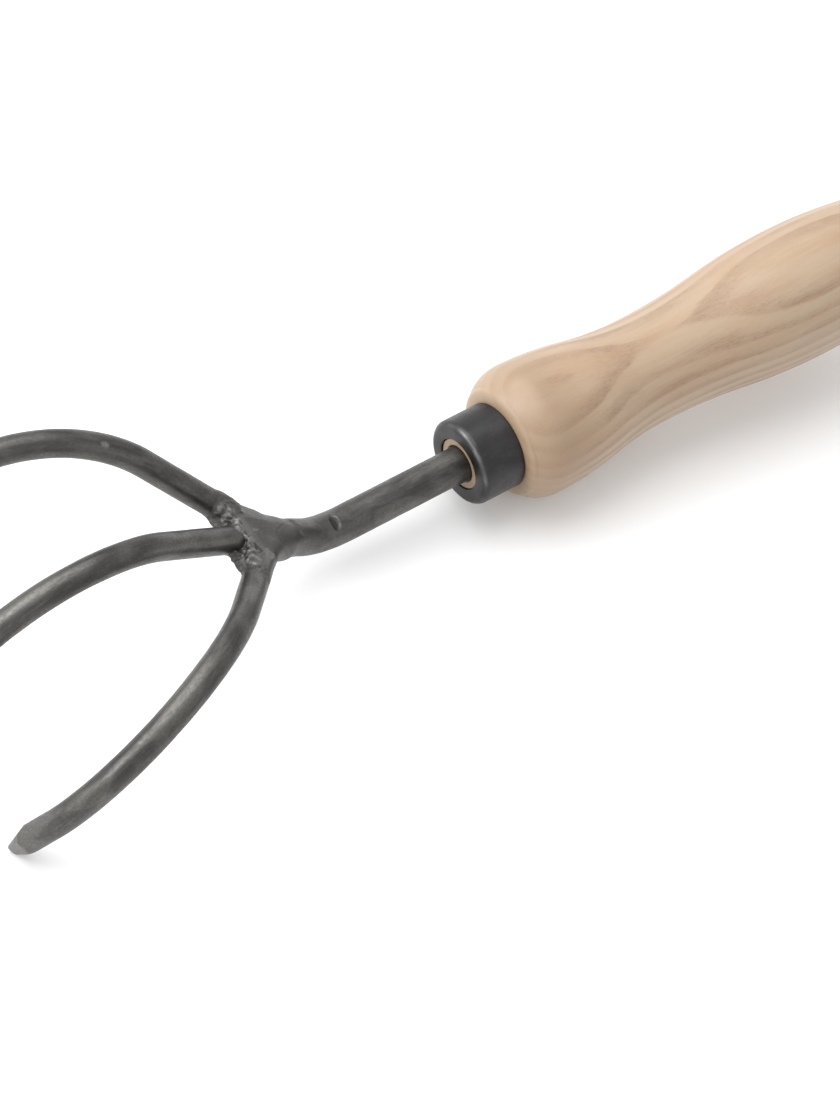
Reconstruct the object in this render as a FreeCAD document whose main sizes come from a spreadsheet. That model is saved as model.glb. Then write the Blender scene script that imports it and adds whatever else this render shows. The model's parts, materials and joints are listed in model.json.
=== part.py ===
import FreeCAD, Part
import math
import os

import Sketcher

# A three-tined hand rake (cultivator): a turned ash handle with a drawn steel ferrule, a bent round
# shank whose tang is glued into the handle, and a welded fork of three hooked round-bar tines.
#
# Everything is first drawn on the handle's axis. X points forward along that axis from the mouth of
# the ferrule towards the tines, Y is to the left and Z is up, away from the ground. Last, the whole
# tool is laid on the ground as it comes to rest by itself, on its three points and on the front
# bulge of the handle, with the origin at the bottom centre of its bounding box.

SIZES = (
    # alias, value in millimetres or degrees, meaning
    ("tine_bar", 7.0, "diameter of the round bar of the tines"),
    ("shank_bar", 9.5, "diameter of the round bar of the shank"),
    ("neck_run", 35.0, "straight shank in front of the ferrule"),
    ("neck_radius", 24.0, "radius of the shank's bend, on its centre line"),
    ("neck_rise", 42.3, "angle by which the shank and the fork rise from the handle's axis"),
    ("neck_tail", 15.2, "straight shank between its bend and the fork"),
    ("tang_length", 70.0, "tapered tang behind the ferrule's mouth"),
    ("tang_tip", 6.0, "diameter of the tang's end"),
    ("fork_spread", 30.6, "angle between an outer tine and the middle of the fork, seen square on"),
    ("outer_run", 43.5, "straight root of an outer tine"),
    ("outer_radius", 38.6, "radius of an outer tine's hook, on its centre line"),
    ("outer_turn", 120.0, "angle through which an outer tine is hooked"),
    ("outer_tail", 9.5, "straight end of an outer tine above its point"),
    ("centre_rise", 37.5, "angle by which the centre tine rises from the handle's axis"),
    ("centre_lift", 0.4, "height of the centre tine's line above the outer tines' at the fork"),
    ("centre_start", 9.0, "distance from the fork's corner at which the centre tine starts"),
    ("centre_run", 38.5, "straight root of the centre tine"),
    ("centre_radius", 37.2, "radius of the centre tine's hook, on its centre line"),
    ("centre_turn", 115.5, "angle through which the centre tine is hooked"),
    ("centre_tail", 13.7, "straight end of the centre tine above its point"),
    ("point_length", 10.0, "length of a tine's four-sided ground point"),
    ("point_shoulder", 7.4, "width across the grinding planes where a point starts"),
    ("point_end", 2.3, "width across the flats at the end of a point"),
    ("point_round", 0.9, "radius round the end of a point"),
    ("hub_back", 5.0, "length of the neck weld behind the fork's corner"),
    ("hub_front", 9.0, "length of the neck weld in front of the fork's corner"),
    ("hub_bulge", 25.0, "radius of the ground profile of the neck weld"),
    ("hub_rear_radius", 4.6, "radius of the neck weld's profile at its rear end"),
    ("hub_front_radius", 3.4, "radius of the neck weld's profile at its front end"),
    ("bead_start", 9.0, "distance from the fork's corner at which a crotch weld starts"),
    ("bead_length", 9.5, "length of a crotch weld's bead up to its round end"),
    ("bead_rear_radius", 2.3, "radius of a bead at the corner"),
    ("bead_front_radius", 3.7, "radius of a bead at its round end"),
    ("ferrule_diameter", 23.3, "outside diameter of the ferrule"),
    ("ferrule_length", 12.7, "length of the ferrule"),
    ("ferrule_wall", 1.2, "thickness of the ferrule's side wall"),
    ("ferrule_front", 1.7, "thickness of the ferrule's front wall"),
    ("ferrule_mouth", 14.2, "diameter of the opening in the ferrule's front wall"),
    ("ferrule_round", 1.8, "radius round the ferrule's front edge"),
    ("ferrule_bevel", 0.35, "bevel on the ferrule's rear edge"),
    ("shoulder_radius", 13.2, "radius of the wood where it comes out from under the ferrule"),
    ("shoulder_round", 1.0, "radius on the wood's edge behind the ferrule"),
    ("spigot_front", 0.5, "distance of the wood's front face behind the ferrule's mouth"),
    ("spigot_gap", 0.03, "gap between the wood and the rim of the ferrule's mouth"),
    ("crown_station", 22.0, "distance of the handle's front bulge behind the ferrule's mouth"),
    ("crown_radius", 18.07, "radius of the handle's front bulge"),
    ("waist_station", 59.5, "distance of the handle's waist behind the ferrule's mouth"),
    ("waist_radius", 14.47, "radius of the handle's waist"),
    ("belly_station", 112.0, "distance of the handle's belly behind the ferrule's mouth"),
    ("belly_radius", 18.1, "radius of the handle's belly"),
    ("tail_curve", 167.0, "radius of the curve from the belly to the butt"),
    ("handle_end", 152.7, "distance of the butt behind the ferrule's mouth"),
    ("butt_round", 9.0, "radius round the butt"),
    ("bore_diameter", 10.0, "diameter of the bore for the tang"),
    ("bore_end", 74.0, "distance of the bore's end behind the ferrule's mouth"),
    ("glue_start", 1.2, "distance of the resin's front surface behind the ferrule's mouth"),
    ("hang_station", 138.5, "distance of the hanging hole behind the ferrule's mouth"),
    ("hang_diameter", 6.5, "diameter of the hanging hole"),
    ("hang_round", 0.8, "radius round the hanging hole's edges"),
)

ORIGIN = FreeCAD.Vector(0, 0, 0)
X_AXIS = FreeCAD.Vector(1, 0, 0)
Y_AXIS = FreeCAD.Vector(0, 1, 0)
Z_AXIS = FreeCAD.Vector(0, 0, 1)
OVERSIZE = 30.0  # edge of the block that trims the fork square to the neck
NEAR = 0.01  # distance, in millimetres, below which two places are the same
RIM_REACH = 0.1  # how far outside the hanging hole's radius its rims are looked for
LEAST_CUT = 1.0  # volume, in cubic millimetres, that any drilled hole takes away
STEEPEST_REST = 15.0  # the rest angle is searched for between zero and this, by halving
REST_HALVINGS = 24

doc = FreeCAD.newDocument("hand_rake")


# ---------------------------------------------------------------- helpers

def make_sheet():
    sheet = doc.addObject("Spreadsheet::Sheet", "Sizes")
    for row, (alias, value, meaning) in enumerate(SIZES, start=1):
        sheet.set(f"A{row}", meaning)
        sheet.set(f"B{row}", str(value))
        sheet.setAlias(f"B{row}", alias)
    doc.recompute()
    return sheet


def size(alias):
    return float(sheet.get(alias))


def vector(x, z):
    """A point in a sketch."""
    return FreeCAD.Vector(x, z, 0)


def turned(axis, angle):
    return FreeCAD.Placement(ORIGIN, FreeCAD.Rotation(axis, angle))


def moved(x, y, z):
    return FreeCAD.Placement(FreeCAD.Vector(x, y, z), FreeCAD.Rotation())


def new_body(name, placement):
    body = doc.addObject("PartDesign::Body", name)
    body.Placement = placement
    return body


def new_sketch(body, name, role):
    plane = next(item for item in body.Origin.OriginFeatures if item.Role == role)
    sketch = body.newObject("Sketcher::SketchObject", name)
    sketch.AttachmentSupport = [(plane, "")]
    sketch.MapMode = "FlatFace"
    return sketch


def primitive(kind, name, placement, **formulas):
    item = doc.addObject(f"Part::{kind}", name)
    for prop, formula in formulas.items():
        item.setExpression(prop, formula)
    item.Placement = placement
    return item


def fused(name, items):
    union = doc.addObject("Part::MultiFuse", name)
    union.Shapes = items
    union.Refine = True
    return union


def cut(name, base, tool):
    result = doc.addObject("Part::Cut", name)
    result.Base = base
    result.Tool = tool
    return result


def bound(sketch, name, formula, *constraint):
    """Adds a constraint whose value comes from the sheet."""
    index = sketch.addConstraint(Sketcher.Constraint(*constraint))
    sketch.renameConstraint(index, name)
    sketch.setExpression(f"Constraints.{name}", formula)


def bound_point(sketch, name, x_formula, y_formula, geometry, vertex, x, y):
    """Holds one end of a sketch's line or arc at a place from the sheet."""
    bound(sketch, f"{name}_x", x_formula, "DistanceX", -1, 1, geometry, vertex, x)
    bound(sketch, f"{name}_y", y_formula, "DistanceY", -1, 1, geometry, vertex, y)


def polygon_lines(sketch, points):
    """Joins the points by lines, end to start, and returns the lines' numbers."""
    lines = []
    for start, end in zip(points, points[1:]):
        lines.append(sketch.addGeometry(Part.LineSegment(start, end)))
    for before, after in zip(lines, lines[1:]):
        sketch.addConstraint(Sketcher.Constraint("Coincident", before, 2, after, 1))
    return lines


def revolved(body, sketch, name):
    feature = body.newObject("PartDesign::Revolution", name)
    feature.Profile = sketch
    feature.ReferenceAxis = (sketch, ["H_Axis"])
    feature.Angle = 360.0
    doc.recompute()
    return feature


def circle_edges(shape, radius, station):
    """Names of the full circles of that radius, square to X at that station."""
    names = []
    for number, edge in enumerate(shape.Edges, start=1):
        curve = edge.Curve
        if not isinstance(curve, Part.Circle):
            continue
        if abs(curve.Radius - radius) < NEAR and abs(curve.Center.x - station) < NEAR:
            names.append(f"Edge{number}")
    return names


def dressed(body, kind, name, base, edges, prop, formula):
    """A Fillet or a Chamfer on named edges of the body's last feature."""
    feature = body.newObject(f"PartDesign::{kind}", name)
    feature.Base = (base, edges)
    feature.setExpression(prop, formula)
    doc.recompute()
    return feature


def drilled(body, sketch, name, through_both_ways):
    """A Pocket that must take material away, whichever way the sketch faces."""
    before = body.Shape.Volume
    pocket = body.newObject("PartDesign::Pocket", name)
    pocket.Profile = sketch
    if through_both_ways:
        pocket.Type = "ThroughAll"
        pocket.Midplane = True
    else:
        pocket.Reversed = True
        pocket.setExpression("Length", "Sizes.bore_end")
    doc.recompute()
    if body.Shape.Volume > before - LEAST_CUT:
        raise RuntimeError(f"{name} cuts nothing")
    return pocket


# ---------------------------------------------------------------- bars

def bent_bar(name, placement, bar, part):
    """Round bar: straight along +X, hooked towards -Z, then straight again."""
    run, radius, tail = (f"{part}_run", f"{part}_radius", f"{part}_tail")
    turn = "neck_rise" if part == "neck" else f"{part}_turn"
    angle = math.radians(size(turn))
    bend_start = vector(size(run), 0)
    centre = vector(size(run), -size(radius))
    bend_end = centre + vector(math.sin(angle), math.cos(angle)) * size(radius)
    tip = bend_end + vector(math.cos(angle), -math.sin(angle)) * size(tail)

    body = new_body(name, placement)
    path = new_sketch(body, f"{name}_path", "XZ_Plane")
    root = path.addGeometry(Part.LineSegment(vector(0, 0), bend_start))
    circle = Part.Circle(centre, Z_AXIS, size(radius))
    bend = path.addGeometry(Part.ArcOfCircle(circle, math.pi / 2 - angle, math.pi / 2))
    end = path.addGeometry(Part.LineSegment(bend_end, tip))
    path.addConstraint(Sketcher.Constraint("Coincident", root, 1, -1, 1))
    path.addConstraint(Sketcher.Constraint("Horizontal", root))
    path.addConstraint(Sketcher.Constraint("Tangent", root, 2, bend, 2))
    path.addConstraint(Sketcher.Constraint("Tangent", bend, 1, end, 1))
    bound(path, "run", f"Sizes.{run}", "Distance", root, size(run))
    bound(path, "radius", f"Sizes.{radius}", "Radius", bend, size(radius))
    bound(path, "turn", f"-Sizes.{turn}", "Angle", end, -angle)
    bound(path, "tail", f"Sizes.{tail}", "Distance", end, size(tail))

    section = new_sketch(body, f"{name}_section", "YZ_Plane")
    round_bar = section.addGeometry(Part.Circle(ORIGIN, Z_AXIS, size(bar) / 2))
    section.addConstraint(Sketcher.Constraint("Coincident", round_bar, 3, -1, 1))
    bound(section, "thickness", f"Sizes.{bar} / 2", "Radius", round_bar, size(bar) / 2)

    pipe = body.newObject("PartDesign::AdditivePipe", f"{name}_pipe")
    pipe.Profile = section
    pipe.Spine = (path, ["Edge1", "Edge2", "Edge3"])
    end_frame = FreeCAD.Placement(FreeCAD.Vector(tip.x, 0, tip.y), FreeCAD.Rotation())
    return body, placement * end_frame * turned(Y_AXIS, 90 + size(turn))


def ground_point(name, placement):
    """Four planes ground on the end of a tine, along +Z of the placement, with a rounded end."""
    blank = primitive("Cylinder", f"{name}_blank", placement,
                      Radius="Sizes.tine_bar / 2", Height="Sizes.point_length")
    upright = placement * turned(X_AXIS, 90)
    grind = primitive("Wedge", f"{name}_grind", upright,
                      Xmin="-Sizes.point_shoulder / 2", Xmax="Sizes.point_shoulder / 2",
                      Zmin="-Sizes.point_shoulder / 2", Zmax="Sizes.point_shoulder / 2",
                      Ymin="0", Ymax="Sizes.point_length",
                      X2min="-Sizes.point_end / 2", X2max="Sizes.point_end / 2",
                      Z2min="-Sizes.point_end / 2", Z2max="Sizes.point_end / 2")
    faceted = doc.addObject("Part::MultiCommon", f"{name}_faceted")
    faceted.Shapes = [blank, grind]
    doc.recompute()

    end_height = size("point_length") - NEAR
    end_edges = []
    for number, edge in enumerate(faceted.Shape.Edges, start=1):
        heights = [placement.inverse().multVec(corner.Point).z for corner in edge.Vertexes]
        if min(heights) > end_height:
            end_edges.append((number, size("point_round"), size("point_round")))
    rounded = doc.addObject("Part::Fillet", f"{name}_rounded")
    rounded.Base = faceted
    rounded.Edges = end_edges
    return rounded


def make_shank():
    neck, _ = bent_bar("neck", turned(X_AXIS, 180), "shank_bar", "neck")
    tang = primitive("Cone", "tang", turned(Y_AXIS, -90), Radius1="Sizes.shank_bar / 2",
                     Radius2="Sizes.tang_tip / 2", Height="Sizes.tang_length")
    return fused("shank", [neck, tang])


def make_outer_tines():
    pieces = []
    for side, sign in (("left", 1), ("right", -1)):
        root = FORK * turned(Z_AXIS, sign * size("fork_spread"))
        bar, end = bent_bar(f"{side}_tine", root, "tine_bar", "outer")
        pieces += [bar, ground_point(f"{side}_point", end)]
    bent_pair = fused("bent_pair", pieces)
    behind_neck = moved(-OVERSIZE, -OVERSIZE / 2, -OVERSIZE / 2)
    block = primitive("Box", "behind_fork", FORK * behind_neck,
                      Length=str(OVERSIZE), Width=str(OVERSIZE), Height=str(OVERSIZE))
    return cut("outer_tines", bent_pair, block)


def make_centre_tine(outer_tines):
    """The centre tine is coped to fit between the roots of the outer two."""
    bar, end = bent_bar("middle_tine", centre_frame(size("centre_start")), "tine_bar", "centre")
    whole = fused("whole_centre", [bar, ground_point("centre_point", end)])
    return cut("centre_tine", whole, outer_tines)


def centre_frame(distance):
    lifted = moved(0, 0, size("centre_lift"))
    return lifted * moved(*FORK.Base) * turned(Y_AXIS, -size("centre_rise")) * moved(distance, 0, 0)


def fork_frame():
    """The fork's corner: at the neck's end, X along the neck, Z square to the outer tines' plane."""
    rise = math.radians(size("neck_rise"))
    radius = size("neck_radius")
    tail = size("neck_tail")
    x = size("neck_run") + radius * math.sin(rise) + tail * math.cos(rise)
    z = radius * (1 - math.cos(rise)) + tail * math.sin(rise)
    return moved(x, 0, z) * turned(Y_AXIS, -size("neck_rise"))


# ---------------------------------------------------------------- welds

def make_neck_weld(bars):
    """Weld between neck and fork, ground to one smooth barrel round the joint."""
    body = new_body("neck_barrel", FORK)
    sketch = new_sketch(body, "neck_barrel_profile", "XZ_Plane")
    rear = vector(-size("hub_back"), size("hub_rear_radius"))
    front = vector(size("hub_front"), size("hub_front_radius"))
    lines = polygon_lines(sketch, [front, vector(front.x, 0), vector(rear.x, 0), rear])
    half_chord = (front - rear) / 2
    height = math.sqrt(size("hub_bulge") ** 2 - half_chord.Length ** 2)
    inward = vector(half_chord.y, -half_chord.x).normalize()
    centre = rear + half_chord + inward * height
    first = math.atan2(front.y - centre.y, front.x - centre.x)
    last = math.atan2(rear.y - centre.y, rear.x - centre.x)
    circle = Part.Circle(centre, Z_AXIS, size("hub_bulge"))
    arc = sketch.addGeometry(Part.ArcOfCircle(circle, first, last))
    sketch.addConstraint(Sketcher.Constraint("Coincident", arc, 1, lines[0], 1))
    sketch.addConstraint(Sketcher.Constraint("Coincident", arc, 2, lines[2], 2))
    sketch.addConstraint(Sketcher.Constraint("PointOnObject", lines[0], 2, -1))
    sketch.addConstraint(Sketcher.Constraint("PointOnObject", lines[2], 1, -1))
    sketch.addConstraint(Sketcher.Constraint("Vertical", lines[0]))
    sketch.addConstraint(Sketcher.Constraint("Vertical", lines[2]))
    bound_point(sketch, "front", "Sizes.hub_front", "Sizes.hub_front_radius",
                lines[0], 1, front.x, front.y)
    bound_point(sketch, "rear", "-Sizes.hub_back", "Sizes.hub_rear_radius",
                lines[2], 2, rear.x, rear.y)
    bound(sketch, "bulge", "Sizes.hub_bulge", "Radius", arc, size("hub_bulge"))
    revolved(body, sketch, "neck_barrel_turn")
    return cut("neck_weld", body, bars)


def make_crotch_weld(side, sign, steel):
    """Weld bead laid in the crotch between the centre tine and one outer tine."""
    name = f"weld_{side}"
    outer = (FORK * turned(Z_AXIS, sign * size("fork_spread"))).Rotation.multVec(X_AXIS)
    centre = centre_frame(0).Rotation.multVec(X_AXIS)
    between = (outer + centre).normalize()
    start = FORK.Base + between * size("bead_start")
    along = FreeCAD.Placement(start, FreeCAD.Rotation(Z_AXIS, between))
    bead = primitive("Cone", f"{name}_bead", along, Radius1="Sizes.bead_rear_radius",
                     Radius2="Sizes.bead_front_radius", Height="Sizes.bead_length")
    end = primitive("Sphere", f"{name}_end", along * moved(0, 0, size("bead_length")),
                    Radius="Sizes.bead_front_radius")
    return cut(name, fused(f"{name}_run", [bead, end]), steel)


# ---------------------------------------------------------------- handle

def make_ferrule():
    """Drawn steel cap over the front of the handle, with a wide mouth round the shank."""
    body = new_body("ferrule", BACKWARDS)
    sketch = new_sketch(body, "ferrule_profile", "XZ_Plane")
    outer = size("ferrule_diameter") / 2
    inner = outer - size("ferrule_wall")
    mouth = size("ferrule_mouth") / 2
    front = size("ferrule_front")
    length = size("ferrule_length")
    corners = [vector(0, mouth), vector(0, outer), vector(length, outer),
               vector(length, inner), vector(front, inner), vector(front, mouth)]
    lines = polygon_lines(sketch, corners + corners[:1])
    sketch.addConstraint(Sketcher.Constraint("Coincident", lines[-1], 2, lines[0], 1))
    for number, line in enumerate(lines):
        kind = "Vertical" if number % 2 == 0 else "Horizontal"
        sketch.addConstraint(Sketcher.Constraint(kind, line))
    bound_point(sketch, "mouth", "0", "Sizes.ferrule_mouth / 2", lines[0], 1, 0, mouth)
    bound_point(sketch, "rim", "Sizes.ferrule_length", "Sizes.ferrule_diameter / 2",
                lines[2], 1, length, outer)
    bound_point(sketch, "inside", "Sizes.ferrule_front",
                "Sizes.ferrule_diameter / 2 - Sizes.ferrule_wall", lines[4], 1, front, inner)
    turn = revolved(body, sketch, "ferrule_turn")
    front_edges = circle_edges(turn.Shape, outer, 0)
    rounded = dressed(body, "Fillet", "ferrule_front_edge", turn, front_edges,
                      "Radius", "Sizes.ferrule_round")
    rear_edges = circle_edges(rounded.Shape, outer, length)
    dressed(body, "Chamfer", "ferrule_rear_edge", rounded, rear_edges,
            "Size", "Sizes.ferrule_bevel")
    return body


def arc_between(centre, radius, start, end):
    """An arc of a sketch from start to end, anticlockwise round its centre."""
    first = math.atan2(start.y - centre.y, start.x - centre.x)
    last = math.atan2(end.y - centre.y, end.x - centre.x)
    return Part.ArcOfCircle(Part.Circle(centre, Z_AXIS, radius), first, last)


def make_handle():
    """Turned handle: spigot, front bulge, waist, belly and rounded butt, as one chain of arcs."""
    body = new_body("handle", BACKWARDS)
    sketch = new_sketch(body, "handle_profile", "XZ_Plane")
    spigot_radius = size("ferrule_diameter") / 2 - size("ferrule_wall")
    step_station = size("ferrule_front")
    face = size("spigot_front")
    plug_radius = size("ferrule_mouth") / 2 - size("spigot_gap")
    shoulder = vector(size("ferrule_length"), size("shoulder_radius"))
    crown = vector(size("crown_station"), size("crown_radius"))
    waist = vector(size("waist_station"), size("waist_radius"))
    belly = vector(size("belly_station"), size("belly_radius"))

    nose_rise = crown - shoulder
    nose = (nose_rise.x ** 2 + nose_rise.y ** 2) / (2 * nose_rise.y)
    front_middle = (crown + waist) / 2
    front_curve = swell_radius(crown, waist)
    rear_middle = (waist + belly) / 2
    rear_curve = swell_radius(waist, belly)
    tail_curve = size("tail_curve")
    tail_run = size("handle_end") - belly.x
    tail_end = vector(size("handle_end"),
                      belly.y - tail_curve + math.sqrt(tail_curve ** 2 - tail_run ** 2))

    # Each arc as centre, radius and ends; the convex ones run backwards, the hollow ones forwards.
    arcs = (
        (crown - vector(0, nose), nose, crown, shoulder),
        (crown - vector(0, front_curve), front_curve, front_middle, crown),
        (waist + vector(0, front_curve), front_curve, front_middle, waist),
        (waist + vector(0, rear_curve), rear_curve, waist, rear_middle),
        (belly - vector(0, rear_curve), rear_curve, belly, rear_middle),
        (belly - vector(0, tail_curve), tail_curve, tail_end, belly),
    )
    ids = [sketch.addGeometry(arc_between(*arc)) for arc in arcs]
    nose_arc, crown_arc, waist_front, waist_rear, belly_arc, tail_arc = ids
    lines = polygon_lines(sketch, [tail_end, vector(tail_end.x, 0), vector(face, 0),
                                   vector(face, plug_radius), vector(step_station, plug_radius),
                                   vector(step_station, spigot_radius),
                                   vector(shoulder.x, spigot_radius), shoulder])
    butt, axis, end_face, mouth_plug, ledge, spigot, step = lines

    for first, first_end, second, second_end in (
            (nose_arc, 1, crown_arc, 2), (crown_arc, 1, waist_front, 1),
            (waist_front, 2, waist_rear, 1), (waist_rear, 2, belly_arc, 2),
            (belly_arc, 1, tail_arc, 2)):
        sketch.addConstraint(Sketcher.Constraint("Tangent", first, first_end, second, second_end))
    sketch.addConstraint(Sketcher.Constraint("Coincident", tail_arc, 1, butt, 1))
    sketch.addConstraint(Sketcher.Constraint("Coincident", nose_arc, 2, step, 2))
    sketch.addConstraint(Sketcher.Constraint("Equal", crown_arc, waist_front))
    sketch.addConstraint(Sketcher.Constraint("Equal", waist_rear, belly_arc))
    sketch.addConstraint(Sketcher.Constraint("PointOnObject", butt, 2, -1))
    for line in (butt, end_face, ledge, step):
        sketch.addConstraint(Sketcher.Constraint("Vertical", line))
    for line in (axis, mouth_plug, spigot):
        sketch.addConstraint(Sketcher.Constraint("Horizontal", line))

    bound_point(sketch, "shoulder", "Sizes.ferrule_length", "Sizes.shoulder_radius",
                step, 2, shoulder.x, shoulder.y)
    bound_point(sketch, "mouth_plug", "Sizes.spigot_front",
                "Sizes.ferrule_mouth / 2 - Sizes.spigot_gap", end_face, 2, face, plug_radius)
    bound_point(sketch, "spigot", "Sizes.ferrule_front",
                "Sizes.ferrule_diameter / 2 - Sizes.ferrule_wall",
                ledge, 2, step_station, spigot_radius)
    bound_point(sketch, "crown", "Sizes.crown_station", "Sizes.crown_radius",
                nose_arc, 1, crown.x, crown.y)
    bound_point(sketch, "waist", "Sizes.waist_station", "Sizes.waist_radius",
                waist_front, 2, waist.x, waist.y)
    bound_point(sketch, "belly", "Sizes.belly_station", "Sizes.belly_radius",
                belly_arc, 1, belly.x, belly.y)
    for name, arc in (("crown", crown_arc), ("waist", waist_rear), ("belly", tail_arc)):
        bound(sketch, f"{name}_level", f"Sizes.{name}_station",
              "DistanceX", -1, 1, arc, 3, size(f"{name}_station"))
    bound(sketch, "tail", "Sizes.tail_curve", "Radius", tail_arc, tail_curve)
    bound(sketch, "end", "Sizes.handle_end", "DistanceX", -1, 1, butt, 1, tail_end.x)
    turn = revolved(body, sketch, "handle_turn")
    butt_edges = circle_edges(turn.Shape, tail_end.y, tail_end.x)
    rounded = dressed(body, "Fillet", "butt_edge", turn, butt_edges, "Radius", "Sizes.butt_round")
    shoulder_edges = circle_edges(rounded.Shape, shoulder.y, shoulder.x)
    dressed(body, "Fillet", "shoulder_edge", rounded, shoulder_edges,
            "Radius", "Sizes.shoulder_round")

    bore = new_sketch(body, "tang_bore_circle", "YZ_Plane")
    circle = bore.addGeometry(Part.Circle(ORIGIN, Z_AXIS, size("bore_diameter") / 2))
    bore.addConstraint(Sketcher.Constraint("Coincident", circle, 3, -1, 1))
    bound(bore, "bore", "Sizes.bore_diameter / 2", "Radius", circle, size("bore_diameter") / 2)
    drilled(body, bore, "tang_bore", through_both_ways=False)

    hole = new_sketch(body, "hang_hole_circle", "XZ_Plane")
    station = vector(size("hang_station"), 0)
    circle = hole.addGeometry(Part.Circle(station, Z_AXIS, size("hang_diameter") / 2))
    bound_point(hole, "station", "Sizes.hang_station", "0", circle, 3, station.x, 0)
    bound(hole, "hang", "Sizes.hang_diameter / 2", "Radius", circle, size("hang_diameter") / 2)
    through = drilled(body, hole, "hang_hole", through_both_ways=True)
    dressed(body, "Fillet", "hang_hole_edges", through, hole_rims(through.Shape),
            "Radius", "Sizes.hang_round")
    return body


def swell_radius(low, high):
    """Radius of two equal arcs that join two level points by an S-curve."""
    rise = abs(high.y - low.y)
    run = high.x - low.x
    return (run ** 2 + rise ** 2) / (4 * rise)


def hole_rims(shape):
    """Names of the edges where the hanging hole meets the outside of the handle."""
    names = []
    reach = size("hang_diameter") / 2 + RIM_REACH
    for number, edge in enumerate(shape.Edges, start=1):
        middle = edge.valueAt((edge.FirstParameter + edge.LastParameter) / 2)
        away = math.hypot(middle.x - size("hang_station"), middle.z)
        if away < reach and not isinstance(edge.Curve, Part.Line):
            names.append(f"Edge{number}")
    return names


def make_tang_adhesive(shank):
    """Resin that fills the bore of the handle round the tang."""
    start = size("glue_start")
    fill = primitive("Cylinder", "bore_fill", moved(-start, 0, 0) * turned(Y_AXIS, -90),
                     Radius="Sizes.bore_diameter / 2", Height="Sizes.bore_end - Sizes.glue_start")
    return cut("tang_adhesive", fill, shank)


# ---------------------------------------------------------------- lying down

def lowest(shape, pitch):
    rotated = shape.copy()
    rotated.Placement = turned(Y_AXIS, pitch) * rotated.Placement
    return rotated.optimalBoundingBox(False, False).ZMin


def rest_pitch(tines, handle):
    """Angle, nose down, at which the tines' points and the handle are at the same height."""
    low, high = 0.0, STEEPEST_REST
    for _ in range(REST_HALVINGS):
        middle = (low + high) / 2
        if lowest(tines, middle) > lowest(handle, middle):
            low = middle
        else:
            high = middle
    return middle


def lay_down(pieces):
    """Turns and moves everything that was drawn, so that the tool rests on the ground."""
    pitch = turned(Y_AXIS, rest_pitch(pieces["outer_tines"].Shape, pieces["handle"].Shape))
    whole = Part.makeCompound([piece.Shape for piece in pieces.values()])
    whole.Placement = pitch
    box = whole.optimalBoundingBox(False, False)
    rest = moved(-box.Center.x, -box.Center.y, -box.ZMin) * pitch
    for item in doc.Objects:
        if item.isDerivedFrom("Part::Primitive") or item.isDerivedFrom("PartDesign::Body"):
            item.Placement = rest * item.Placement
    doc.recompute()


def write_steps(pieces):
    for item in doc.Objects:
        if "Invalid" in item.State or "Error" in item.State:
            raise RuntimeError(f"{item.Label} failed: {item.State}")
    os.makedirs("parts", exist_ok=True)
    for name, piece in pieces.items():
        if piece.Shape.isNull() or not piece.Shape.isValid():
            raise RuntimeError(f"{name} has no valid shape")
        if len(piece.Shape.Solids) != 1:
            raise RuntimeError(f"{name} is {len(piece.Shape.Solids)} solids")
        piece.Label = name
        piece.Shape.exportStep(f"parts/{name}.step")
        print(f"{name}: {piece.Shape.Volume:.0f} mm3")


sheet = make_sheet()
FORK = fork_frame()
BACKWARDS = turned(Z_AXIS, 180)  # the handle and the ferrule are drawn from the mouth backwards

shank = make_shank()
outer_tines = make_outer_tines()
centre_tine = make_centre_tine(outer_tines)
bars = fused("bars", [shank, outer_tines, centre_tine])
neck_weld = make_neck_weld(bars)
steel = fused("steel", [bars, neck_weld])
doc.recompute()
nodes = {
    "handle": make_handle(),
    "ferrule": make_ferrule(),
    "tang_adhesive": make_tang_adhesive(shank),
    "shank": shank,
    "outer_tines": outer_tines,
    "centre_tine": centre_tine,
    "neck_weld": neck_weld,
    "weld_left": make_crotch_weld("left", 1, steel),
    "weld_right": make_crotch_weld("right", -1, steel),
}
doc.recompute()
lay_down(nodes)
write_steps(nodes)
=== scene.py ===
import json
import math

import bmesh
import bpy
import numpy as np
from mathutils import Matrix, Vector, noise


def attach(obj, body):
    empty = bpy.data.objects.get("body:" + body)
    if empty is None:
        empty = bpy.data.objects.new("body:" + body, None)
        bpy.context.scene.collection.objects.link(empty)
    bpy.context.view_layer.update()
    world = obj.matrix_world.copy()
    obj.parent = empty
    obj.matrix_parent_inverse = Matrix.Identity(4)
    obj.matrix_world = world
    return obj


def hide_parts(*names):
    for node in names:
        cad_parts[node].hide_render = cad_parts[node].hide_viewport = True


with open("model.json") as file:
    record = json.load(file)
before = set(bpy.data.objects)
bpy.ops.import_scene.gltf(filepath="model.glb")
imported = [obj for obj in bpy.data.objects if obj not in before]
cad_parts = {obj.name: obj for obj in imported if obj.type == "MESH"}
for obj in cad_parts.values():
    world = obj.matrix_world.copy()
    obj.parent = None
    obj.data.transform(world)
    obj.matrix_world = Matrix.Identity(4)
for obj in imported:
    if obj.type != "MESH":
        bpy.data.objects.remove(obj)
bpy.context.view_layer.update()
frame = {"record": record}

# ---------------------------------------------------------------- sizes, in millimetres and degrees
# Points are worked out in the tool's own frame: X forward along the handle's axis from the mouth of
# the ferrule, Y to the left, Z up. REST lays that frame on the ground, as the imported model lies.
# Points of the joint are in the fork's frame: X along the neck, Z square to the outer tines' plane.

MM = 0.001
SEGMENTS = 96  # points round each bar
AROUND = np.linspace(0, 2 * math.pi, SEGMENTS, endpoint=False)
FAR = 9.0  # stands for a distance that is out of reach of anything on a bar

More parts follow.
